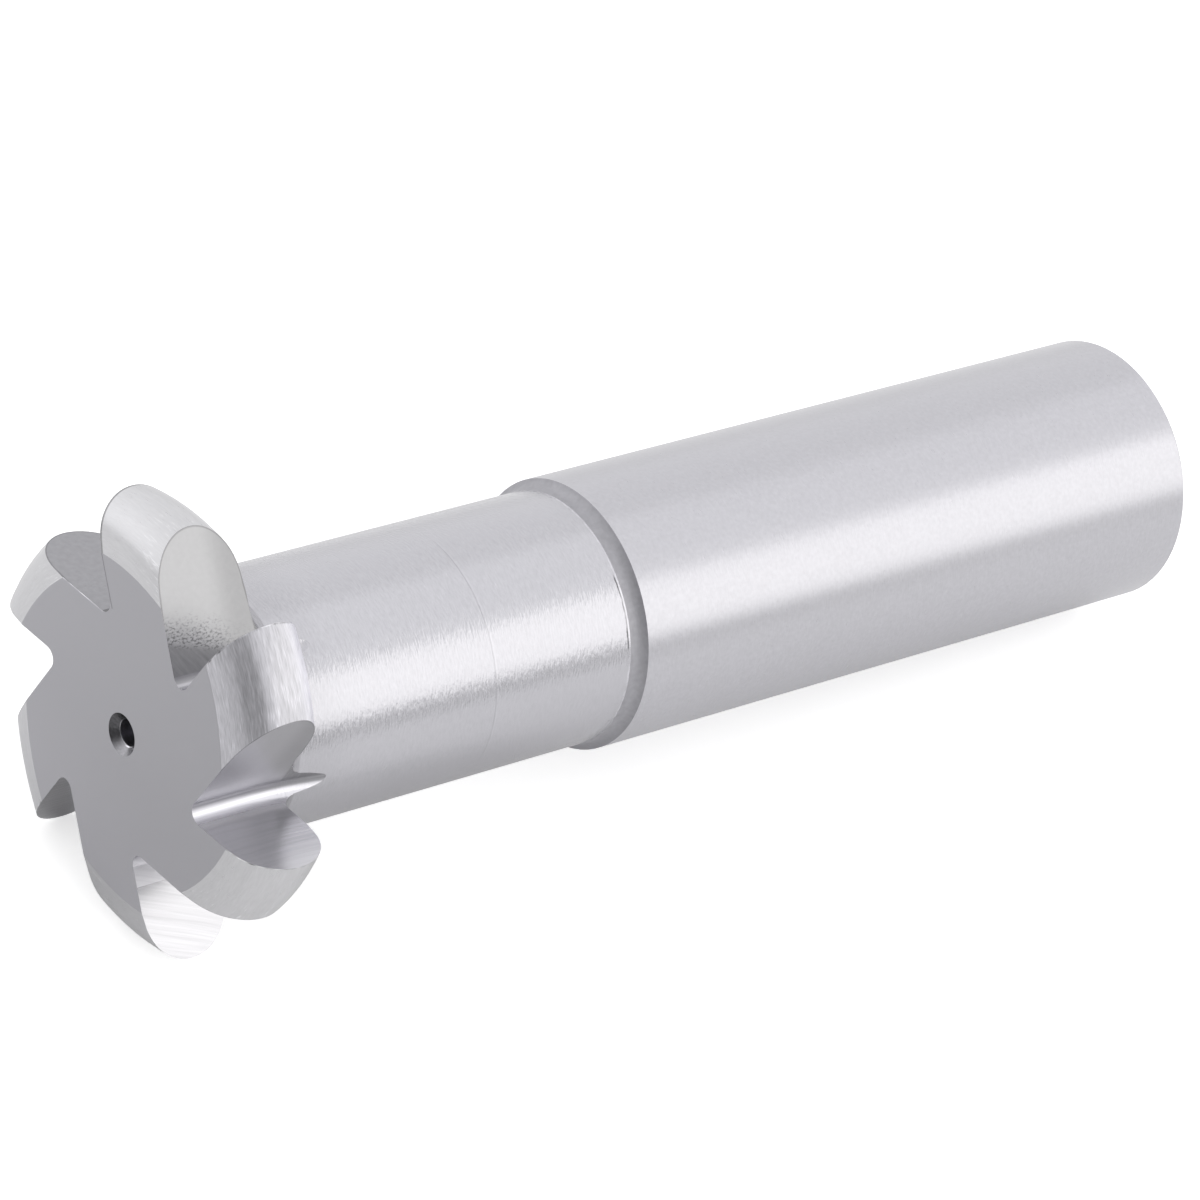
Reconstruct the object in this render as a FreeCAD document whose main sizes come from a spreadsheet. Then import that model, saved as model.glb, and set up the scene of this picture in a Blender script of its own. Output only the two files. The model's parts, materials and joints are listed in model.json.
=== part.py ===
import FreeCAD, Part
import math
import os
import Sketcher
from FreeCAD import Placement, Rotation, Vector

# Convex radius cutter: a form relieved milling cutter on a plain shank, turned, milled and
# ground from one bar of high speed steel. Millimetres. The body's own frame has its origin
# at the centre of the shank end, with +Z along the axis to the front face of the head.
# Seen from the front the cutter turns counter-clockwise, and the cutting face of the first
# tooth is upright, on the right of +Y.

doc = FreeCAD.newDocument("ConvexRadiusCutter")
sheet = doc.addObject("Spreadsheet::Sheet", "Sizes")

SIZES = [
    # Turned blank
    ("shank_diameter", 19.05),
    ("shank_length", 50.8),
    ("shank_chamfer", 0.5),
    ("shoulder_fillet", 1.0),
    ("neck_diameter", 17.8),
    ("neck_length", 30.0),
    ("neck_fillet", 1.2),
    ("hub_diameter", 21.2),
    # Head and the half round form of its teeth
    ("head_diameter", 31.75),
    ("head_width", 6.55),
    ("form_radius", 3.175),
    ("flank_angle", 8.0),
    # Form relief: each tooth is turned about its own centre, off the cutter's axis
    ("relief_radius", 19.1),
    ("relief_angle", 11.0),
    ("relief_lead", 4.0),
    ("relief_sweep", 40.0),
    # Teeth and the gullets milled between them with an angular form disc
    ("tooth_count", 6),
    ("rake_angle", 6.0),
    ("gullet_angle", 60.0),
    ("gullet_fillet", 0.8),
    ("gullet_floor", 8.13),
    ("gullet_straight", 3.5),
    ("gullet_disc_diameter", 63.5),
    ("gullet_disc_turn", 45.0),
    ("cut_clearance", 2.0),
    # Centre holes, in both ends
    ("centre_mouth_diameter", 2.92),
    ("centre_pilot_diameter", 1.86),
    ("centre_depth", 5.0),
    ("countersink_angle", 90.0),
    ("drill_point_angle", 118.0),
]

for row, (alias, number) in enumerate(SIZES, start=1):
    sheet.set(f"A{row}", alias)
    sheet.set(f"B{row}", str(number))
    sheet.setAlias(f"B{row}", alias)
doc.recompute()

# Lengths along the axis, from the shank end
NECK_START = "Sizes.shank_length"
HEAD_BACK = "Sizes.shank_length + Sizes.neck_length"
HEAD_FRONT = "Sizes.shank_length + Sizes.neck_length + Sizes.head_width"
CREST_PLANE = "Sizes.shank_length + Sizes.neck_length + Sizes.head_width / 2"
GULLET_TURN_PLANE = HEAD_FRONT + " - Sizes.gullet_straight"

# The cutting face stands off the axis by this much, which gives the teeth their rake
RAKE_OFFSET = "Sizes.head_diameter / 2 * sin(Sizes.rake_angle * 1 deg)"

# Centre that a tooth's relief is turned about, and the way from it to the cutting point
RELIEF_TURN = "(Sizes.rake_angle + Sizes.relief_angle) * 1 deg"
RELIEF_CENTRE_X = f"{RAKE_OFFSET} - Sizes.relief_radius * sin({RELIEF_TURN})"
RELIEF_CENTRE_Y = (
    "Sizes.head_diameter / 2 * cos(Sizes.rake_angle * 1 deg)"
    f" - Sizes.relief_radius * cos({RELIEF_TURN})"
)


def value(expression):
    """The number that an expression on the sheet comes to."""
    result = sheet.evalExpression(expression)
    return float(getattr(result, "Value", result))


def origin_feature(body, role):
    return next(item for item in body.Origin.OriginFeatures if item.Role == role)


def new_sketch(body, name, plane):
    sketch = body.newObject("Sketcher::SketchObject", name)
    sketch.AttachmentSupport = [(origin_feature(body, plane), "")]
    sketch.MapMode = "FlatFace"
    return sketch


def dimension(sketch, name, expression, kind, *where):
    """A named dimension of a sketch, bound to the sheet."""
    number = value(expression)
    if kind == "Angle":
        number = math.radians(number)
    index = sketch.addConstraint(Sketcher.Constraint(kind, *where, number))
    sketch.renameConstraint(index, name)
    unit = " * 1 deg" if kind == "Angle" else ""
    sketch.setExpression(f"Constraints.{name}", f"({expression}){unit}")


def line(sketch, start, end):
    segment = Part.LineSegment(Vector(*start, 0), Vector(*end, 0))
    return sketch.addGeometry(segment, False)


def arc(sketch, centre, radius, start_angle, end_angle):
    """Arc drawn counter-clockwise between two angles in degrees."""
    circle = Part.Circle(Vector(*centre, 0), Vector(0, 0, 1), radius)
    piece = Part.ArcOfCircle(circle, math.radians(start_angle), math.radians(end_angle))
    return sketch.addGeometry(piece, False)


def join(sketch, first, first_end, second, second_end, tangent=False):
    kind = "Tangent" if tangent else "Coincident"
    sketch.addConstraint(Sketcher.Constraint(kind, first, first_end, second, second_end))


ORIGIN = (-1, 1)
START, END, CENTRE = 1, 2, 3


# Turned blank

def add_blank(body):
    """Shank, shoulder, neck and the hub that the teeth stand on, as one turned profile."""
    shank = value("Sizes.shank_diameter / 2")
    neck = value("Sizes.neck_diameter / 2")
    hub = value("Sizes.hub_diameter / 2")
    chamfer = value("Sizes.shank_chamfer")
    shoulder = value("Sizes.shoulder_fillet")
    fillet = value("Sizes.neck_fillet")
    neck_start = value(NECK_START)
    head_back = value(HEAD_BACK)
    head_front = value(HEAD_FRONT)
    # The shoulder is lower than its corner radius, so the arc ends before it is square on
    shoulder_run = math.sqrt(shoulder ** 2 - (shoulder - shank + neck) ** 2)
    shoulder_centre = (neck + shoulder, neck_start + shoulder_run)
    shoulder_end = 180 + math.degrees(math.asin(shoulder_run / shoulder))

    sketch = new_sketch(body, "BlankProfile", "XZ_Plane")
    base = line(sketch, (0, 0), (shank - chamfer, 0))
    bevel = line(sketch, (shank - chamfer, 0), (shank, chamfer))
    shank_side = line(sketch, (shank, chamfer), (shank, neck_start))
    shoulder_arc = arc(sketch, shoulder_centre, shoulder, 180, shoulder_end)
    neck_side = line(sketch, (neck, shoulder_centre[1]), (neck, head_back - fillet))
    neck_arc = arc(sketch, (neck + fillet, head_back - fillet), fillet, 90, 180)
    hub_back = line(sketch, (neck + fillet, head_back), (hub, head_back))
    hub_side = line(sketch, (hub, head_back), (hub, head_front))
    front = line(sketch, (hub, head_front), (0, head_front))
    axis = line(sketch, (0, head_front), (0, 0))

    join(sketch, base, START, *ORIGIN)
    join(sketch, base, END, bevel, START)
    join(sketch, bevel, END, shank_side, START)
    join(sketch, shank_side, END, shoulder_arc, END)
    join(sketch, shoulder_arc, START, neck_side, START, tangent=True)
    join(sketch, neck_side, END, neck_arc, END, tangent=True)
    join(sketch, neck_arc, START, hub_back, START, tangent=True)
    join(sketch, hub_back, END, hub_side, START)
    join(sketch, hub_side, END, front, START)
    join(sketch, front, END, axis, START)
    join(sketch, axis, END, *ORIGIN)
    for flat in (base, hub_back, front):
        sketch.addConstraint(Sketcher.Constraint("Horizontal", flat))
    for upright in (shank_side, neck_side, hub_side, axis):
        sketch.addConstraint(Sketcher.Constraint("Vertical", upright))

    dimension(sketch, "shank", "Sizes.shank_diameter / 2", "DistanceX", *ORIGIN, shank_side, END)
    dimension(sketch, "neck", "Sizes.neck_diameter / 2", "DistanceX", *ORIGIN, neck_side, START)
    dimension(sketch, "hub", "Sizes.hub_diameter / 2", "DistanceX", *ORIGIN, hub_side, START)
    dimension(sketch, "bevel_wide", "Sizes.shank_chamfer", "DistanceX", bevel, START, bevel, END)
    dimension(sketch, "bevel_high", "Sizes.shank_chamfer", "DistanceY", bevel, START, bevel, END)
    dimension(sketch, "shank_top", NECK_START, "DistanceY", *ORIGIN, shank_side, END)
    dimension(sketch, "head_back", HEAD_BACK, "DistanceY", *ORIGIN, hub_back, END)
    dimension(sketch, "head_front", HEAD_FRONT, "DistanceY", *ORIGIN, front, END)
    dimension(sketch, "shoulder_radius", "Sizes.shoulder_fillet", "Radius", shoulder_arc)
    dimension(sketch, "fillet_radius", "Sizes.neck_fillet", "Radius", neck_arc)

    blank = body.newObject("PartDesign::Revolution", "Blank")
    blank.Profile = sketch
    blank.ReferenceAxis = (sketch, ["V_Axis"])
    blank.Angle = 360


# Centre holes

def lower_first(outer, inner, inward):
    """Both ends of a length along the axis, in the order that makes it positive."""
    return (*inner, *outer) if inward < 0 else (*outer, *inner)


def add_centre_hole(body, name, face, inward):
    """Countersunk centre hole for grinding between centres. inward is the way in along Z."""
    mouth = value("Sizes.centre_mouth_diameter / 2")
    pilot = value("Sizes.centre_pilot_diameter / 2")
    depth = value("Sizes.centre_depth")
    sink = (mouth - pilot) / math.tan(math.radians(value("Sizes.countersink_angle / 2")))
    point = pilot / math.tan(math.radians(value("Sizes.drill_point_angle / 2")))
    level = value(face)

    sketch = new_sketch(body, name + "Profile", "XZ_Plane")
    opening = line(sketch, (0, level), (mouth, level))
    cone = line(sketch, (mouth, level), (pilot, level + inward * sink))
    side = line(sketch, (pilot, level + inward * sink), (pilot, level + inward * depth))
    tip = line(sketch, (pilot, level + inward * depth), (0, level + inward * (depth + point)))
    axis = line(sketch, (0, level + inward * (depth + point)), (0, level))
    outline = [opening, cone, side, tip, axis]
    for first, second in zip(outline, outline[1:] + outline[:1]):
        join(sketch, first, END, second, START)
    sketch.addConstraint(Sketcher.Constraint("Horizontal", opening))
    sketch.addConstraint(Sketcher.Constraint("Vertical", side))
    sketch.addConstraint(Sketcher.Constraint("Vertical", axis))
    sketch.addConstraint(Sketcher.Constraint("PointOnObject", opening, START, -2))
    if level:
        dimension(sketch, "face", face, "DistanceY", *ORIGIN, opening, START)
    else:
        sketch.addConstraint(Sketcher.Constraint("PointOnObject", opening, START, -1))
    sink_ends = lower_first((cone, START), (cone, END), inward)
    depth_ends = lower_first((cone, START), (side, END), inward)
    point_ends = lower_first((tip, START), (tip, END), inward)
    sink_depth = (
        "(Sizes.centre_mouth_diameter - Sizes.centre_pilot_diameter) / 2"
        " / tan(Sizes.countersink_angle * 1 deg / 2)"
    )
    point_depth = "Sizes.centre_pilot_diameter / 2 / tan(Sizes.drill_point_angle * 1 deg / 2)"
    dimension(sketch, "mouth", "Sizes.centre_mouth_diameter / 2", "DistanceX", *ORIGIN, opening, END)
    dimension(sketch, "pilot", "Sizes.centre_pilot_diameter / 2", "DistanceX", *ORIGIN, side, START)
    dimension(sketch, "sink", sink_depth, "DistanceY", *sink_ends)
    dimension(sketch, "depth", "Sizes.centre_depth", "DistanceY", *depth_ends)
    dimension(sketch, "point", point_depth, "DistanceY", *point_ends)

    hole = body.newObject("PartDesign::Groove", name)
    hole.Profile = sketch
    hole.ReferenceAxis = (sketch, ["V_Axis"])
    hole.Angle = 360


# Teeth

def add_teeth(body):
    """Half round teeth, each a sector turned about its own relief centre."""
    relief = value("Sizes.relief_radius")
    form = value("Sizes.form_radius")
    flank = value("Sizes.flank_angle")
    crest_plane = value(CREST_PLANE)
    head_back = value(HEAD_BACK)
    head_front = value(HEAD_FRONT)
    # The foot of the tooth reaches down into the hub, to the level of the gullet floor
    foot_expression = "Sizes.relief_radius - Sizes.head_diameter / 2 + Sizes.gullet_floor"
    foot = value(foot_expression)
    slope = math.radians(flank)
    tangent_x = relief - form + form * math.sin(slope)
    tangent_z = form * math.cos(slope)
    flank_foot = tangent_x - (head_front - crest_plane - tangent_z) / math.tan(slope)

    sketch = new_sketch(body, "ToothProfile", "XZ_Plane")
    sketch.AttachmentOffset = Placement(Vector(0, 0, 0), Rotation(Vector(0, 1, 0), 1))
    sketch.setExpression("AttachmentOffset.Base.x", RELIEF_CENTRE_X)
    sketch.setExpression("AttachmentOffset.Base.z", f"-({RELIEF_CENTRE_Y})")
    middle_turn = f"90 deg - {RELIEF_TURN} + (Sizes.relief_lead - Sizes.relief_sweep / 2) * 1 deg"
    sketch.setExpression("AttachmentOffset.Rotation.Angle", middle_turn)

    back_face = line(sketch, (foot, head_back), (flank_foot, head_back))
    back_flank = line(sketch, (flank_foot, head_back), (tangent_x, crest_plane - tangent_z))
    crest = arc(sketch, (relief - form, crest_plane), form, flank - 90, 90 - flank)
    front_flank = line(sketch, (tangent_x, crest_plane + tangent_z), (flank_foot, head_front))
    front_face = line(sketch, (flank_foot, head_front), (foot, head_front))
    foot_side = line(sketch, (foot, head_front), (foot, head_back))

    join(sketch, back_face, END, back_flank, START)
    join(sketch, back_flank, END, crest, START, tangent=True)
    join(sketch, crest, END, front_flank, START, tangent=True)
    join(sketch, front_flank, END, front_face, START)
    join(sketch, front_face, END, foot_side, START)
    join(sketch, foot_side, END, back_face, START)
    for flat in (back_face, front_face):
        sketch.addConstraint(Sketcher.Constraint("Horizontal", flat))
    sketch.addConstraint(Sketcher.Constraint("Vertical", foot_side))

    dimension(sketch, "foot", foot_expression, "DistanceX", *ORIGIN, foot_side, START)
    dimension(sketch, "form_centre", "Sizes.relief_radius - Sizes.form_radius",
              "DistanceX", *ORIGIN, crest, CENTRE)
    dimension(sketch, "form", "Sizes.form_radius", "Radius", crest)
    dimension(sketch, "crest_plane", CREST_PLANE, "DistanceY", *ORIGIN, crest, CENTRE)
    dimension(sketch, "head_back", HEAD_BACK, "DistanceY", *ORIGIN, back_face, START)
    dimension(sketch, "head_front", HEAD_FRONT, "DistanceY", *ORIGIN, front_face, START)
    dimension(sketch, "back_slope", "Sizes.flank_angle", "Angle", back_flank)
    dimension(sketch, "front_slope", "180 - Sizes.flank_angle", "Angle", front_flank)

    tooth = body.newObject("PartDesign::Revolution", "Tooth")
    tooth.Profile = sketch
    tooth.ReferenceAxis = (sketch, ["V_Axis"])
    tooth.Midplane = True
    tooth.setExpression("Angle", "Sizes.relief_sweep * 1 deg")
    add_pattern(body, "Teeth", [tooth])


# Gullets

def add_gullets(body):
    """Gullets milled from the front with an angular disc, running out into the neck.

    One side of the disc cuts the flat cutting face of a tooth, and its slanted side cuts
    the back of the tooth ahead. Where the disc stops, it leaves its own curve.
    """
    rake_offset = value(RAKE_OFFSET)
    fillet = value("Sizes.gullet_fillet")
    floor = value("Sizes.gullet_floor")
    disc = value("Sizes.gullet_disc_diameter / 2")
    slope = math.radians(90 + value("Sizes.gullet_angle"))
    reach = value("Sizes.head_diameter / 2 + Sizes.cut_clearance")
    centre = (rake_offset - fillet, floor + fillet)
    # Where the slanted wall leaves the fillet, and where it reaches the top of the outline
    leave = (centre[0] - fillet * math.sin(slope), centre[1] + fillet * math.cos(slope))
    run = (reach - leave[1]) / math.sin(slope)
    outer = (leave[0] + run * math.cos(slope), reach)

    sketch = new_sketch(body, "GulletOutline", "XY_Plane")
    sketch.AttachmentOffset = Placement(Vector(0, 0, 0), Rotation())
    sketch.setExpression("AttachmentOffset.Base.z", GULLET_TURN_PLANE)
    root = arc(sketch, centre, fillet, math.degrees(slope) + 90, 360)
    rake_wall = line(sketch, (rake_offset, centre[1]), (rake_offset, reach))
    top = line(sketch, (rake_offset, reach), outer)
    back_wall = line(sketch, leave, outer)
    disc_axis = line(sketch, (0, floor + disc), (rake_offset, floor + disc))
    sketch.setConstruction(disc_axis, True)

    join(sketch, root, END, rake_wall, START, tangent=True)
    join(sketch, root, START, back_wall, START, tangent=True)
    join(sketch, rake_wall, END, top, START)
    join(sketch, top, END, back_wall, END)
    sketch.addConstraint(Sketcher.Constraint("Vertical", rake_wall))
    sketch.addConstraint(Sketcher.Constraint("Horizontal", top))
    sketch.addConstraint(Sketcher.Constraint("Horizontal", disc_axis))
    sketch.addConstraint(Sketcher.Constraint("PointOnObject", disc_axis, START, -2))

    dimension(sketch, "rake_offset", RAKE_OFFSET, "DistanceX", *ORIGIN, rake_wall, START)
    dimension(sketch, "root_radius", "Sizes.gullet_fillet", "Radius", root)
    dimension(sketch, "root_height", "Sizes.gullet_floor + Sizes.gullet_fillet",
              "DistanceY", *ORIGIN, root, CENTRE)
    dimension(sketch, "back_slope", "90 + Sizes.gullet_angle", "Angle", back_wall)
    dimension(sketch, "reach", "Sizes.head_diameter / 2 + Sizes.cut_clearance",
              "DistanceY", *ORIGIN, rake_wall, END)
    dimension(sketch, "disc_axis", "Sizes.gullet_floor + Sizes.gullet_disc_diameter / 2",
              "DistanceY", *ORIGIN, disc_axis, START)
    dimension(sketch, "axis_length", RAKE_OFFSET, "DistanceX", disc_axis, START, disc_axis, END)

    gullet = body.newObject("PartDesign::Pocket", "Gullet")
    gullet.Profile = sketch
    gullet.Type = "ThroughAll"
    gullet.Reversed = True
    run_out = body.newObject("PartDesign::Groove", "GulletRunOut")
    run_out.Profile = sketch
    run_out.ReferenceAxis = (sketch, ["Axis0"])
    run_out.setExpression("Angle", "Sizes.gullet_disc_turn * 1 deg")
    add_pattern(body, "Gullets", [gullet, run_out])


def add_pattern(body, name, originals):
    """Repeats features round the axis, once for each tooth."""
    pattern = body.newObject("PartDesign::PolarPattern", name)
    pattern.Originals = originals
    pattern.Axis = (origin_feature(body, "Z_Axis"), [""])
    pattern.Angle = 360
    pattern.setExpression("Occurrences", "Sizes.tooth_count")
    body.Tip = pattern


# Resting place

def turned(point, degrees):
    return Rotation(Vector(0, 0, 1), degrees).multVec(point)


def resting_rotation():
    """How the cutter lies: on the heel of one tooth, the cutting point of the next and the
    lower edge of the shank end, with the head towards -X."""
    pitch = 360 / value("Sizes.tooth_count")
    head = value("Sizes.head_diameter / 2")
    rake = math.radians(value("Sizes.rake_angle"))
    half_gullet = math.radians(value("Sizes.gullet_angle / 2"))
    fillet = value("Sizes.gullet_fillet")
    relief = value("Sizes.relief_radius")
    centre = Vector(value(RELIEF_CENTRE_X), value(RELIEF_CENTRE_Y), 0)
    cutting_point = turned(Vector(head * math.sin(rake), head * math.cos(rake), 0), -pitch)
    # The back of the first tooth is the slanted wall of the gullet behind it
    sharp_root = value("Sizes.gullet_floor") + fillet - fillet / math.tan(half_gullet)
    root = turned(Vector(value(RAKE_OFFSET), sharp_root, 0), -pitch)
    wall = turned(Vector(0, 1, 0), value("Sizes.gullet_angle") - pitch)
    along = (centre - root).dot(wall)
    across = (centre - root - wall * along).Length
    heel = root + wall * (along + math.sqrt(relief ** 2 - across ** 2))

    edge = cutting_point - heel
    down = Vector(-edge.y, edge.x, 0).normalize()
    head_height = heel.dot(down)
    rise = head_height - value("Sizes.shank_diameter / 2")
    span = value(CREST_PLANE) - value("Sizes.shank_chamfer")
    tilt = math.atan2(rise, span)

    down_turn = math.degrees(math.atan2(down.y, down.x))
    lying_down = Vector(-math.sin(tilt), 0, -math.cos(tilt))
    lying_axis = Vector(-math.cos(tilt), 0, math.sin(tilt))
    lying_side = lying_axis.cross(lying_down)
    lying = Rotation(lying_down, lying_side, lying_axis, "ZXY")
    return lying * Rotation(Vector(0, 0, 1), -down_turn)


def lay_down(body):
    """Places the body as it rests, over the middle of the floor it covers."""
    body.Placement = Placement(Vector(0, 0, 0), resting_rotation())
    doc.recompute()
    box = body.Shape.optimalBoundingBox(False, False)
    body.Placement.Base = Vector(-box.Center.x, -box.Center.y, -box.ZMin)
    doc.recompute()


cutter = doc.addObject("PartDesign::Body", "Cutter")
cutter.Label = "convex_radius_cutter"
add_blank(cutter)
add_centre_hole(cutter, "FrontCentre", HEAD_FRONT, -1)
add_centre_hole(cutter, "ShankCentre", "0", 1)
add_teeth(cutter)
add_gullets(cutter)
doc.recompute()
lay_down(cutter)

for item in doc.Objects:
    if "Invalid" in item.State or "Error" in item.State:
        raise RuntimeError(f"{item.Name} failed: {item.State}")

shape = cutter.Shape
if shape.isNull() or not shape.isValid() or len(shape.Solids) != 1:
    raise RuntimeError(f"{cutter.Label} is not one sound solid")

os.makedirs("parts", exist_ok=True)
shape.exportStep(f"parts/{cutter.Label}.step")
print(f"{cutter.Label}: {shape.Volume:.1f} mm3, {len(shape.Faces)} faces")
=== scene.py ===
import json
import math

import bmesh
import bpy
from mathutils import Matrix, Vector

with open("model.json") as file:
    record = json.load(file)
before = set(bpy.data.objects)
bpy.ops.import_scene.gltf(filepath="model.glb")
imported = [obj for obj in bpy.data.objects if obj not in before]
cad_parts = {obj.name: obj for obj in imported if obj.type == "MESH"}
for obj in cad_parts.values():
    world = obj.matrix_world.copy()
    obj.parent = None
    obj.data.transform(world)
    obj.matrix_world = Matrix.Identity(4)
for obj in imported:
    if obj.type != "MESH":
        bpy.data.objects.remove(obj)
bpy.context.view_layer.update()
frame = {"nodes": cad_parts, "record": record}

# The cutter is one bar of high speed steel: shank, neck and six form relieved teeth are
# turned, milled and ground from it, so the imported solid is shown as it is. Its finish is
# drawn in millimetres from the middle of the front face, with +Z towards the shank end.
MM = 0.001
HEAD_WIDTH = 6.55
NECK_LENGTH = 30.0
SHANK = next(mount for mount in frame["record"]["mounts"] if mount["name"] == "shank")
SHANK_MIDDLE = HEAD_WIDTH + NECK_LENGTH + SHANK["dims"]["length_mm"] / 2
TOOTH_TURN = math.radians(-42.2)

along = Vector(SHANK["axis"]).normalized()
side = Vector((0, 1, 0))
around = Matrix.Rotation(TOOTH_TURN, 3, along)
tool_axes = Matrix((around @ side, around @ along.cross(side), along)).transposed()
front_centre = Vector(SHANK["pos_m"]) - along * SHANK_MIDDLE * MM


class Number:
    """A number in a node tree, so that sums with it are written as Python expressions."""

    def __init__(self, tree, socket):
        self.tree = tree
        self.socket = socket

    def do(self, operation, *others):
        values = dict(enumerate((self,) + others))
        return self.tree.number("ShaderNodeMath", {"operation": operation}, values)

    def __add__(self, other):
        return self.do("ADD", other)

    def __sub__(self, other):
        return self.do("SUBTRACT", other)

    def __rsub__(self, other):
        return self * -1.0 + other

    def __mul__(self, other):
        return self.do("MULTIPLY", other)

    def __truediv__(self, other):
        return self.do("DIVIDE", other)

    def __rtruediv__(self, other):
        return self ** -1.0 * other

    def __pow__(self, other):
        return self.do("POWER", other)

    def __abs__(self):
        return self.do("ABSOLUTE")

    def __lt__(self, other):
        return self.do("LESS_THAN", other)

    def __gt__(self, other):
        return self.do("GREATER_THAN", other)

    __radd__ = __add__
    __rmul__ = __mul__

    def step(self, low, high, start=0.0, end=1.0):
        """A smooth change from start at low to end at high."""
        spread = {"From Min": low, "From Max": high, "To Min": start, "To Max": end}
        how = {"interpolation_type": "SMOOTHSTEP"}
        return self.tree.number("ShaderNodeMapRange", how, {"Value": self, **spread})

    def fade(self, low, high):
        """1 up to low, and 0 from high on."""
        return self.step(low, high, 1.0, 0.0)

    def near(self, middle, full, none):
        """1 within the distance full of the middle, and 0 from the distance none on."""
        return abs(self - middle).fade(full, none)

    def mixed(self, other, share):
        """This number, with the given share of it replaced by the other."""
        return self + share * (other - self)


class Tree:
    """A node tree. node() makes any node, with its settings before its sockets."""

    def __init__(self, tree):
        self.tree = tree
        tree.nodes.clear()

    def node(self, kind, settings=None, inputs=None):
        made = self.tree.nodes.new(kind)
        for name, setting in (settings or {}).items():
            setattr(made, name, setting)
        for name, value in (inputs or {}).items():
            if isinstance(value, Number):
                value = value.socket
            if isinstance(value, bpy.types.NodeSocket):
                self.tree.links.new(value, made.inputs[name])
            else:
                made.inputs[name].default_value = value
        return made

    def number(self, kind, settings=None, inputs=None, output=0):
        return Number(self, self.node(kind, settings, inputs).outputs[output])

    def grain(self, x, y, z, detail=2.0):
        """Cloudy noise about zero, from about -1 to 1, at the given place."""
        place = self.node("ShaderNodeCombineXYZ", inputs={0: x, 1: y, 2: z}).outputs[0]
        inputs = {"Vector": place, "Scale": 1.0, "Detail": detail}
        return (self.number("ShaderNodeTexNoise", {}, inputs) - 0.5) * 3.0


def length(x, y):
    """The length of a line that goes x one way and y square to it."""
    return (x * x + y * y) ** 0.5


steel_material = bpy.data.materials.new("tool_steel")
steel_material.use_nodes = True
steel = Tree(steel_material.node_tree)

coordinates = steel.node("ShaderNodeTexCoord").outputs["Object"]
place = steel.node("ShaderNodeMapping", {"vector_type": "TEXTURE"}, {
    "Vector": coordinates,
    "Location": front_centre,
    "Rotation": tool_axes.to_euler(),
    "Scale": (MM, MM, MM),
}).outputs[0]
split = steel.node("ShaderNodeSeparateXYZ", inputs={0: place})
across = Number(steel, split.outputs[0])
height = Number(steel, split.outputs[1]) * -1.0
depth = Number(steel, split.outputs[2])
radius = length(across, height)
turn = height.do("ARCTAN2", across)

# Each cutting face is flat and stands off the axis, which leans it off radial at the rim.
# Every gullet is turned back onto the first one. Its number seeds its marks, and picks
# which finish the gullet and the tooth beside it have.
HEAD_RADIUS = 15.875
RAKE_ANGLE = math.radians(6)
RAKE_OFFSET = HEAD_RADIUS * math.sin(RAKE_ANGLE)
LEAST_RADIUS = 1.7
TEETH = 6
PITCH = math.radians(360 / TEETH)
EDGE_SLACK = math.radians(0.05)


def turned(x, y, cosine, sine):
    """A place on axes that are turned by the angle with that cosine and sine."""
    return x * cosine + y * sine, y * cosine - x * sine


face_angle = (RAKE_OFFSET / radius.do("MAXIMUM", LEAST_RADIUS)).do("ARCSINE")
past_rake = turn + face_angle - math.pi / 2
sector = ((past_rake + EDGE_SLACK) / PITCH).do("FLOOR")
sector_turn = sector * PITCH
gullet = (sector + 0.5).do("FLOORED_MODULO", float(TEETH)) - 0.5
picks = [abs(gullet - float(number)) < 0.5 for number in range(TEETH)]
scratched, lined, chattered, dulled, worn, dimmed = picks
gullet_x, gullet_y = turned(across, height, sector_turn.do("COSINE"), sector_turn.do("SINE"))

# A large disc mills the gullets. Past its lowest point it climbs out into the neck, and the
# cut follows it, so heights in the cut are taken from the disc's own middle.
DISC_RADIUS = 31.75
GULLET_ANGLE = math.radians(60)
GULLET_FLOOR = 8.13
DISC_MIDDLE = GULLET_FLOOR + DISC_RADIUS
STRAIGHT_CUT = 3.5
ROOT_RADIUS = 0.8
ROOT_MIDDLE = (RAKE_OFFSET - ROOT_RADIUS, GULLET_FLOOR + ROOT_RADIUS)
ROOT_REACH = ROOT_RADIUS / math.tan(GULLET_ANGLE / 2)
ROOT_CORNER = ROOT_MIDDLE[1] - ROOT_REACH
past_lowest = (depth - STRAIGHT_CUT).do("MAXIMUM", 0.0)
cut_y = DISC_MIDDLE - length(DISC_MIDDLE - gullet_y, past_lowest)
from_rake = gullet_x - RAKE_OFFSET
above_corner = cut_y - ROOT_CORNER
heel_axes = (math.cos(GULLET_ANGLE), math.sin(GULLET_ANGLE))
from_heel, up_heel = turned(from_rake, above_corner, *heel_axes)
root_x = gullet_x - ROOT_MIDDLE[0]
from_root = length(root_x, cut_y - ROOT_MIDDLE[1]) - ROOT_RADIUS

# The head's zones are its front face, cutting faces, heels, roots and half rounds, and the
# round parts behind them. Past its fillet, the neck's round wall is left out of the cut.
NECK_RADIUS = 8.9
NECK_FILLET = 1.2
FILLET_END = HEAD_WIDTH + NECK_FILLET
CUT_END = 10.4
LEAST_FORM_RADIUS = 9.0
LEAST_BAR_RADIUS = 3.0
on_front = depth < 0.015
on_neck_wall = (depth > FILLET_END - 0.05) * (radius > NECK_RADIUS - 0.02)
in_cut = (depth < CUT_END) * (1.0 - on_front) * (1.0 - on_neck_wall)
on_rake = in_cut * (abs(from_rake) < 0.012) * (cut_y > ROOT_MIDDLE[1])
on_heel = in_cut * (abs(from_heel) < 0.03) * (up_heel > ROOT_REACH) * (1.0 - on_rake)
on_root = in_cut * (abs(from_root) < 0.04) * (cut_y < ROOT_MIDDLE[1]) * (up_heel < ROOT_REACH)
on_cut = on_rake + on_heel + on_root
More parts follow.
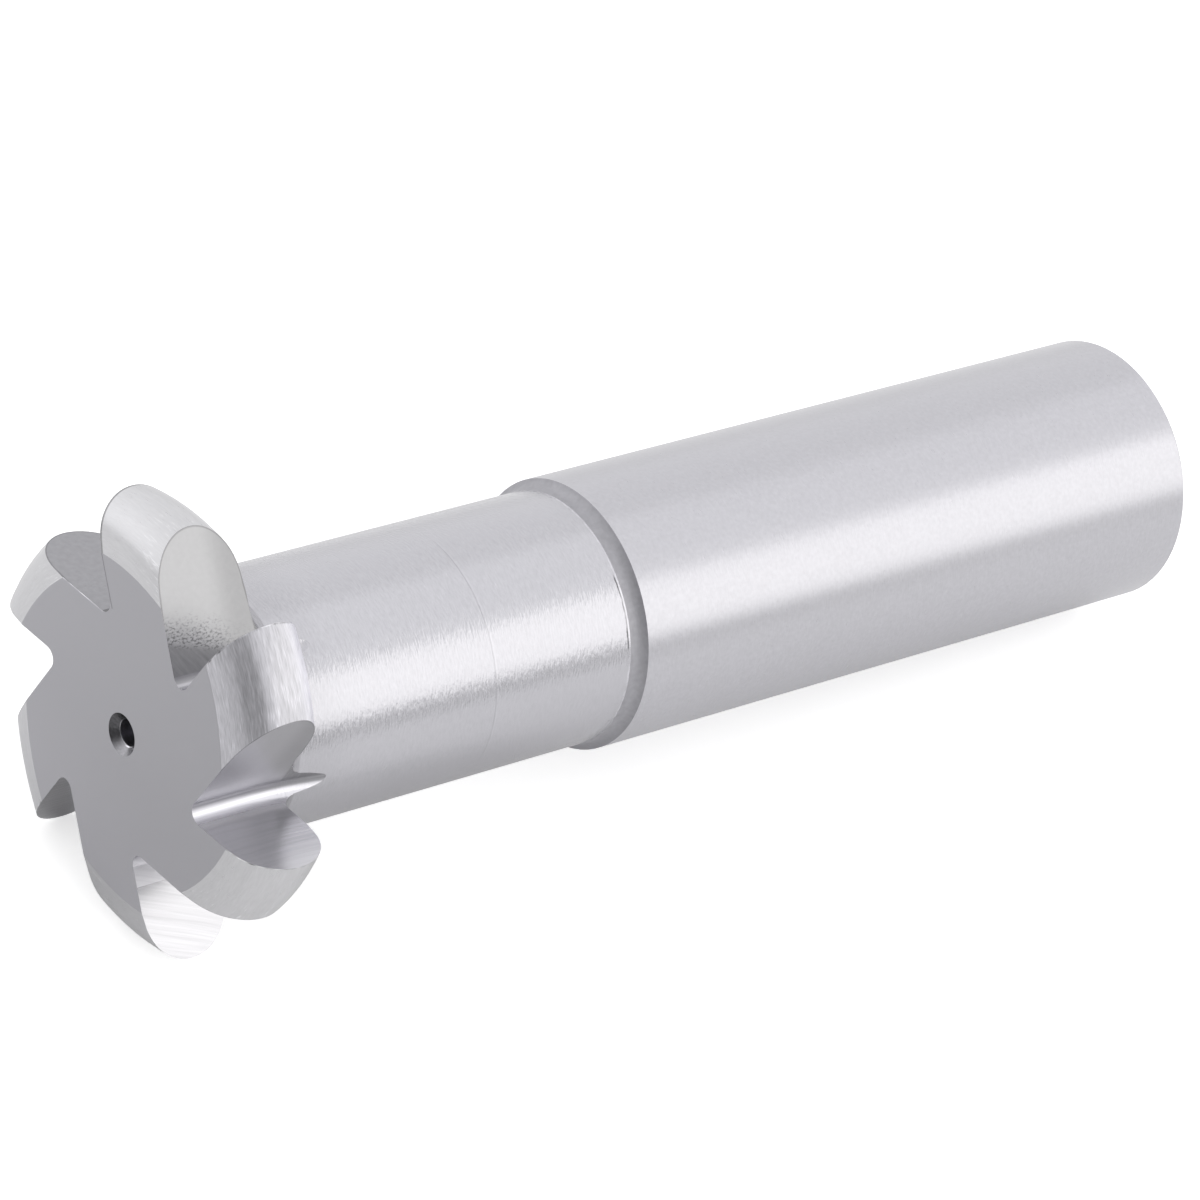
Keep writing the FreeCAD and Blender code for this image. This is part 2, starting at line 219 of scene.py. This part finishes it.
off_cut = 1.0 - on_cut
on_form = (depth < HEAD_WIDTH) * (1.0 - on_front) * off_cut * (radius > LEAST_FORM_RADIUS)
on_round = (depth > HEAD_WIDTH) * off_cut * (radius > LEAST_BAR_RADIUS)
on_rest = 1.0 - on_front - on_form - on_cut - on_round

# The half round of each tooth has flanks at its feet, and is turned about a middle of its
# own off the axis, so that it falls away behind the cutting edge.
FORM_RADIUS = 3.175
FLANK_ANGLE = math.radians(8)
RELIEF_RADIUS = 19.1
RELIEF_TURN = RAKE_ANGLE + math.radians(11)
RELIEF_MIDDLE = turned(
    RAKE_OFFSET - RELIEF_RADIUS * math.sin(RELIEF_TURN),
    HEAD_RADIUS * math.cos(RAKE_ANGLE) - RELIEF_RADIUS * math.cos(RELIEF_TURN),
    math.cos(-PITCH),
    math.sin(-PITCH),
)
relief_x = gullet_x - RELIEF_MIDDLE[0]
relief_y = gullet_y - RELIEF_MIDDLE[1]
swing = length(relief_x, relief_y)
swept = relief_y.do("ARCTAN2", relief_x) * RELIEF_RADIUS
past_middle = swing - (RELIEF_RADIUS - FORM_RADIUS)
flank = (past_middle * -1.0).do("MAXIMUM", 0.0) * math.tan(FLANK_ANGLE)
form_distance = length(past_middle.do("MAXIMUM", 0.0), depth - HEAD_WIDTH / 2)
from_form = FORM_RADIUS + flank - form_distance
from_own_rake = gullet_x * math.cos(PITCH) + gullet_y * math.sin(PITCH) - RAKE_OFFSET

# Neck and shank are ground round, the neck more coarsely, and a faint ring marks where the
# wheel stopped. Grain and ring show most on the side where the highlight falls, partly as a
# painted sheen. The shoulder is left as turned, with a ragged edge that has a painted
# highlight, and the fillet behind the head has painted shade.
SHANK_RADIUS = SHANK["dims"]["r_mm"]
SHOULDER_FILLET = 1.0
NECK_END = HEAD_WIDTH + NECK_LENGTH - SHOULDER_FILLET
BAR_TONE = 0.99
NECK_TONE = 0.97
BAR_ROUGH = 0.285
DARK_RING = 23.95
LIGHT_RING = DARK_RING + 0.13
COARSE_AND_LIT_SIDE = (-1.0, -0.03)
LINE_HEIGHT = 0.016
on_neck = depth < NECK_END - 0.05
on_shoulder = (depth > NECK_END - 0.05) * (radius < SHANK_RADIUS - 0.025)
coarse = 0.18 + on_neck * 0.40 + (depth < DARK_RING) * 0.06
ring_line = steel.grain(depth * 8.0, across * 2.0, height * 2.0) * coarse
grit = steel.grain(depth * 3.4, across * 3.4, height * 3.4, 1.5) * (1.0 - on_neck * 0.85)
ragged = steel.grain(depth * 2.0, across * 1.6, height * 1.6)
# The grain shows most on the side where the highlight falls, partly a painted sheen.
sideways = (across * COARSE_AND_LIT_SIDE[0] + height * COARSE_AND_LIT_SIDE[1]) / radius
coarse_and_lit_side = sideways.step(0.3, 0.8)
ring = depth.near(DARK_RING, 0.02, 0.09) * 0.12 - depth.near(LIGHT_RING, 0.02, 0.08) * 0.05
# A painted highlight along the shoulder's ragged rim.
rim_highlight = (depth + ragged * 0.10).near(NECK_END - 0.10, 0.03, 0.10)
gap = (depth + ragged * 0.05).near(NECK_END - 0.25, 0.02, 0.09) * sideways.step(0.952, 0.968)
# Painted shade in the fillet behind the head, fading along the neck.
fillet_shade = depth.step(FILLET_END - 0.05, FILLET_END + 0.10, 0.24, 0.07)
fillet_shade = fillet_shade - depth.step(8.0, 13.0, 0.0, 0.07)
bar_shade = BAR_TONE + ring_line * (0.03 + coarse_and_lit_side * 0.10) - coarse_and_lit_side * ring
bar_shade = bar_shade + grit * (0.040 + coarse_and_lit_side * 0.018) + rim_highlight * (0.12 + ragged * 0.2)
bar_shade = bar_shade - on_shoulder * (0.17 - ragged * 0.05) - gap * (0.55 + ragged * 0.5)
bar_shade = bar_shade - fillet_shade
bar_rough = BAR_ROUGH - on_neck * 0.06 + ring_line * 0.09 + on_shoulder * 0.32
bump = steel.node("ShaderNodeBump", {}, {
    "Strength": 1.0,
    "Distance": MM,
    "Height": ring_line * (depth > HEAD_WIDTH) * LINE_HEIGHT,
})

# Half rounds: the form tool leaves lines round the tooth, and painted highlights lie in dashes
# close to the heel. One tooth has the deepest lines, with painted shade near its front and a
# painted highlight at its back. The cutting edges have a fine broken line of painted highlight
# and shade, which is painted shade only on one tooth.
FORM_TONE = 1.15
FORM_ROUGH = 0.31
DARK_LINE = 1.45
fineness = 8.0 + lined * 3.5
fine_line = steel.grain(depth * fineness, swing * fineness, swept * 1.1 + gullet * 9.0)
broad_line = steel.grain(depth * 1.4, swing * 1.4, swept * 0.12 + gullet * 5.0, 1.0)
line_depth = 0.35 + lined * 0.95
# Painted highlights in dashes near the heel.
glint_dashes = (fine_line + broad_line * 0.4).step(0.35, 0.7) * (from_heel * -1.0).fade(0.1, 2.6)
# Painted shade near the front of one tooth, and a painted highlight at its back.
dark_groove_and_shade = (depth + broad_line * 0.1).near(DARK_LINE, 0.05, 0.38) * 0.22
back_highlight = depth.step(3.9, 5.1) * 0.68 - depth.step(2.2, 2.9) * 0.18
# A broken line of painted highlight and shade along the cutting edges.
cutting_edge = (from_own_rake - chattered * 0.09).fade(0.04, 0.13)
edge_glint_and_shade = broad_line * 0.9 * (1.0 - chattered) - 0.10 - chattered * 0.50
form_shade = FORM_TONE + (fine_line * 0.22 + broad_line * 0.07) * line_depth + glint_dashes * 0.22
form_shade = form_shade + lined * (back_highlight - dark_groove_and_shade - 0.03) - dimmed * 0.11
form_shade = form_shade + cutting_edge * edge_glint_and_shade
form_rough = FORM_ROUGH + lined * 0.07 + fine_line * 0.06

# Cutting faces and roots: ground and milled along the axis, so their lines run that way. On
# one cutting face the lines lean, and the wheel's worn corner leaves a rougher strip by the
# root, which a painted reflection makes brighter. One gullet's run-out is as bright as the neck.
RAKE_TONE = 1.06
RAKE_ROUGH = 0.25
ROOT_ROUGH = 0.30
STRIP_EDGE = 10.27
up_cut = cut_y - scratched * depth * 0.37
cut_line = steel.grain(gullet_x * 4.5, up_cut * 4.5, depth * 0.14 + gullet * 7.0)
# A rougher strip by the root, painted brighter in place of a reflection.
strip = cut_y.fade(STRIP_EDGE - 0.03, STRIP_EDGE + 0.03) * scratched
strip_edge = cut_y.near(STRIP_EDGE, 0.0, 0.05) * scratched
rake_shade = RAKE_TONE + lined * 0.28 - worn * 0.20 - dimmed * 0.26
rake_shade = rake_shade + strip * 0.32 - strip_edge * 0.12
rake_shade = rake_shade + cut_line * (0.15 + worn * 0.15)
rake_rough = RAKE_ROUGH + strip * 0.15 + cut_line * 0.03
run_out = depth.step(FILLET_END + 0.05, FILLET_END + 1.05) * chattered
# Painted shade on the roots' heel side, and a painted highlight on their cutting-face side.
root_shade = root_x.step(-0.1, 0.6, 0.52, 1.45) * (1.0 - scratched * 0.25) + cut_line * 0.20
root_shade = (root_shade * (1.0 - dulled * 0.45)).mixed(NECK_TONE, run_out)

# Heels: milled and left dull, one darker than the rest. The mill chattered near the foot,
# most in one gullet, and left pits above a foot with slanted marks and painted shade. The
# heels have painted shade along their edges and grow darker towards the back.
HEEL_TONE = 0.81
HEEL_ROUGH = 0.31
chatter = 0.10 + chattered * 0.90
mottle = steel.grain(up_heel * 2.4, depth * 2.4, gullet * 3.0, 3.0)
pit = steel.grain(up_heel * 7.5, depth * 4.5, gullet * 3.0 + 20.0, 3.0)
slant = steel.grain((up_heel + depth * 1.3) * 2.8, (up_heel - depth) * 0.4, 4.0)
above_foot = up_heel + depth * 0.27
foot = (above_foot + pit * 0.25).fade(3.25, 3.75)
pitted = (above_foot + mottle * 0.9).fade(3.9, 6.0) * depth.step(3.4, 5.4, 1.0, 0.15)
pitted = pitted * (1.0 - foot)
pit_shade = pit.fade(-0.45, -0.15) * 0.12 - pit.step(0.02, 0.30) * 0.34
# The foot has slanted marks and painted shade.
foot_marks_and_shade = slant * 0.09 - 0.19
# Painted shade along the heels' edges.
heel_rim_shade = from_form.fade(0.04, 0.10) + depth.fade(0.02, 0.08) * 0.7
heel_end = depth.step(3.6, 5.8, 0.0, 0.15) * (1.0 - dulled)
heel_shade = HEEL_TONE - dulled * 0.18 - chattered * 0.08 + mottle * (0.03 + dulled * 0.03)
heel_shade = heel_shade - heel_rim_shade * 0.18 - heel_end
heel_shade = heel_shade + chatter * (pitted * pit_shade + foot * foot_marks_and_shade)
heel_shade = heel_shade.mixed(NECK_TONE, run_out)
heel_rough = HEEL_ROUGH + mottle * 0.02

# Front face: ground flat and even, and painted lighter low down. A burr along the edge of
# the dull heel has a painted highlight, and the cutting edge that is dark on its half round
# has painted shade here too.
FRONT_TONE = 0.80
FRONT_ROUGH = 0.40
# The burr has a painted highlight.
burr_glint = abs(from_heel).fade(0.02, 0.07) * (up_heel > 1.25) * (up_heel < 6.6) * dulled
# Painted shade along the front face beside the dark cutting edge.
front_edge_shade = from_own_rake.fade(0.04, 0.13) * (radius > 8.5) * chattered
# Painted light makes the front face lighter low down.
below_axis = height * math.cos(TOOTH_TURN) - across * math.sin(TOOTH_TURN)
front_shade = FRONT_TONE + below_axis.step(1.0, 13.0) * 0.09
front_shade = front_shade + burr_glint * (0.55 + broad_line) - front_edge_shade * 0.38

# Centre holes: drilled, with a countersunk mouth that has painted shade on its upper side. A
# painted glint stands low on the rim of the drilled part, whose wall has a light tone, as it
# is in shade.
MOUTH_RADIUS = 1.46
DRILLED_RADIUS = 0.93
DRILLED_TONE = 1.3
LOW_SIDE = (-0.248, 0.969)
in_hole = radius < MOUTH_RADIUS + 0.002
in_drilled = radius < DRILLED_RADIUS + 0.01
# Painted shade on the mouth's upper side, and a painted glint low on the drilled rim.
low_side = (across * LOW_SIDE[0] + height * LOW_SIDE[1]) / radius
glint = radius.near(DRILLED_RADIUS + 0.03, 0.02, 0.06) * low_side.step(0.55, 0.95)
mouth_shade = low_side.step(-0.3, 0.9, 0.20, 0.58) + fine_line * 0.10 + glint * 1.2
hole_shade = mouth_shade.mixed(DRILLED_TONE, in_drilled)

# Most half rounds, the cutting faces and one heel are a more neutral grey, and the rest is
# cooler. The head and the bar behind it have a shader each, which meet past the gullets.
REST_TONE = 0.9
REST_ROUGH = 0.25
HEAD_END = CUT_END + 0.1
COOL = (0.520, 0.515, 0.548)
NEUTRAL = (0.520, 0.518, 0.534)


def by_zone(front, form, rake, heel, root, bar, rest):
    """The value that belongs to the zone of the head that a place is in."""
    cut = on_rake * rake + on_heel * heel + on_root * root
    return on_front * front + on_form * form + cut + on_round * bar + on_rest * rest


def steel_shader(shade, rough, neutral):
    """Bare steel, as bright, as rough and as neutral as the finish says."""
    tint = steel.node("ShaderNodeMix", {"data_type": "VECTOR"}, {0: neutral, 4: COOL, 5: NEUTRAL})
    shaded = {0: tint.outputs[1], "Scale": shade}
    tone = steel.node("ShaderNodeVectorMath", {"operation": "SCALE"}, shaded)
    return steel.node("ShaderNodeBsdfPrincipled", inputs={
        "Base Color": tone.outputs[0],
        "Metallic": 1.0,
        "Roughness": rough,
        "Normal": bump.outputs[0],
    }).outputs[0]


zone_shades = (front_shade, form_shade, rake_shade, heel_shade, root_shade, bar_shade, REST_TONE)
zone_roughs = (FRONT_ROUGH, form_rough, rake_rough, heel_rough, ROOT_ROUGH, bar_rough, REST_ROUGH)
head_shade = by_zone(*zone_shades).mixed(hole_shade, in_hole)
head_neutral = on_form * (1.0 - lined) + on_rake * 0.6 + chattered * on_heel
head = steel_shader(head_shade, by_zone(*zone_roughs), head_neutral)
# Painted shade in the centre hole at the shank end.
bar = steel_shader(bar_shade * (1.0 - in_hole * 0.6), bar_rough, 0.0)
surface = steel.node("ShaderNodeMixShader", {}, {0: depth > HEAD_END, 1: head, 2: bar})
steel.node("ShaderNodeOutputMaterial", inputs={"Surface": surface.outputs[0]})
cutter = frame["nodes"]["convex_radius_cutter"]
cutter.data.materials[0] = steel_material

# The cutter lies on a sheet of white paper. The camera sees the paper as white, with the
# cutter's soft shadow on it, and the steel reflects it with the full shadow, with a painted
# shadow beside the neck and painted shade past the head and far off. Places on it are in
# metres.
SHEET_REACH = 1.5
BESIDE_NECK = (-0.018, -0.010)
WHITE_TO_CAMERA = 1.37
floor_mesh = bpy.data.meshes.new("floor")
bm = bmesh.new()
bmesh.ops.create_grid(bm, x_segments=1, y_segments=1, size=SHEET_REACH)
bm.to_mesh(floor_mesh)
bm.free()
floor = bpy.data.objects.new("floor", floor_mesh)
bpy.context.scene.collection.objects.link(floor)
paper_material = bpy.data.materials.new("paper")
paper_material.use_nodes = True
paper = Tree(paper_material.node_tree)
spot = paper.node("ShaderNodeTexCoord").outputs["Object"]
spot = paper.node("ShaderNodeSeparateXYZ", inputs={0: spot}).outputs
paper_x = Number(paper, spot[0])
paper_y = Number(paper, spot[1])
# Painted shadow beside the neck, and painted shade past the head and far off.
past_head = paper_x * -1.0 - paper_y.do("MAXIMUM", 0.0) * 1.5
from_neck = length(paper_x - BESIDE_NECK[0], paper_y - BESIDE_NECK[1])
far_off_near_side = paper_y.step(-0.35, -0.12, 0.40, 0.0)
far_off_near_side = far_off_near_side * (paper_x + paper_y * 0.78).fade(-0.02, 0.07)
far_off_far_side = paper_y.step(0.03, 0.12, 0.0, 0.08)
white = past_head.step(0.0, 0.14, 0.90, 0.57) - from_neck.step(0.004, 0.019, 0.16, 0.0)
white = white - far_off_near_side - far_off_far_side
colour = paper.node("ShaderNodeCombineXYZ", inputs={0: white, 1: white, 2: white})
matt = paper.node("ShaderNodeBsdfDiffuse", inputs={"Color": colour.outputs[0]})


def seen_by(tree, *kinds):
    """1 for rays of the named kinds, and 0 for all others."""
    path = tree.node("ShaderNodeLightPath").outputs
    first, *others = (Number(tree, path[kind]) for kind in kinds)
    return sum(others, first)


to_camera = seen_by(paper, "Is Camera Ray")
to_metal = seen_by(paper, "Is Glossy Ray", "Is Transmission Ray")
paper_glow = to_camera * (WHITE_TO_CAMERA - white) + to_metal * 0.06
glow = paper.node("ShaderNodeEmission", inputs={"Strength": paper_glow})
sheet = paper.node("ShaderNodeAddShader", inputs={0: matt.outputs[0], 1: glow.outputs[0]})
paper.node("ShaderNodeOutputMaterial", inputs={"Surface": sheet.outputs[0]})
floor_mesh.materials.append(paper_material)

# A white studio lights the cutter evenly. What shows in the steel is a little brighter at
# the far side, darker behind the camera, where nothing white stands, and dim along the
# skyline on the near side.
WALLS = 1.07
CAMERA_SIDE = (-0.862, -0.402, 0.309)
FAR_SIDE = (-0.56, 0.80, 0.17)
NEAR_SIDE = (0.5, -0.866, 0.0)
SKYLINE = 0.02
world = bpy.data.worlds.new("studio")
bpy.context.scene.world = world
world.use_nodes = True
studio = Tree(world.node_tree)
direction = studio.node("ShaderNodeTexCoord").outputs["Generated"]


def patch(towards, tightness):
    """A soft round patch of the studio, 1 in the middle."""
    both = {0: direction, 1: Vector(towards).normalized()}
    dot = {"operation": "DOT_PRODUCT"}
    closeness = studio.number("ShaderNodeVectorMath", dot, both, "Value")
    return ((closeness - 1.0) * tightness).do("EXPONENT")


rise = Number(studio, studio.node("ShaderNodeSeparateXYZ", inputs={0: direction}).outputs[2])
skyline = rise.near(SKYLINE, 0.0, 0.07) * patch(NEAR_SIDE, 20.0)
walls = WALLS - patch(CAMERA_SIDE, 4.2) * 0.84 + patch(FAR_SIDE, 4.0) * 0.36 - skyline * 0.70
strength = 1.0 + seen_by(studio, "Is Glossy Ray", "Is Transmission Ray") * (walls - 1.0)
white_light = {"Color": (1, 1, 1, 1), "Strength": strength}
background = studio.node("ShaderNodeBackground", inputs=white_light)
studio.node("ShaderNodeOutputWorld", inputs={"Surface": background.outputs[0]})


def lamp(name, size, towards, swung, leant, radiance, colour):
    """A soft lamp 1 m off, aimed at the cutter, then swung and leant by degrees."""
    data = bpy.data.lights.new(name, "AREA")
    data.color = colour
    data.shape = "RECTANGLE"
    data.size, data.size_y = size
    data.energy = radiance * math.pi * size[0] * size[1]
    made = bpy.data.objects.new(name, data)
    made.location = Vector(towards).normalized()
    facing = (-made.location).to_track_quat("-Z", "Y").to_matrix()
    facing = facing @ Matrix.Rotation(math.radians(swung), 3, "Y")
    made.rotation_euler = (facing @ Matrix.Rotation(math.radians(leant), 3, "Z")).to_euler()
    bpy.context.scene.collection.objects.link(made)


lamp("key", (1.6, 0.65), (0.735, -0.573, 0.41), -20, -18, 0.70, (1.0, 0.985, 0.93))
lamp("top", (0.9, 0.9), (0.62, -0.05, 0.80), 0, 0, 0.15, (1, 1, 1))

# The camera looks down on the front face and along the bar, through a long lens. It is
# rolled, so that the bar rises across the picture as it does in the photo.
SENSOR = 36.0
LENS = 181.431
LOOKS_AT = Vector((-3.407, 0.163, 12.433)) * MM
DISTANCE = 416.0014 * MM
AZIMUTH = math.radians(-47.847)
ELEVATION = math.radians(40.899)
ROLL = math.radians(-17.929)
camera_data = bpy.data.cameras.new("camera")
camera_data.sensor_width = SENSOR
camera_data.lens = LENS
camera_data.clip_start = 0.01
camera = bpy.data.objects.new("camera", camera_data)
level = math.cos(ELEVATION)
ahead = Vector((-math.sin(AZIMUTH) * level, math.cos(AZIMUTH) * level, -math.sin(ELEVATION)))
camera.location = LOOKS_AT - ahead * DISTANCE
upright = ahead.to_track_quat("-Z", "Y").to_matrix()
camera.rotation_euler = (upright @ Matrix.Rotation(-ROLL, 3, "Z")).to_euler()
bpy.context.scene.collection.objects.link(camera)
bpy.context.scene.camera = camera
bpy.context.scene.view_settings.view_transform = "Standard"
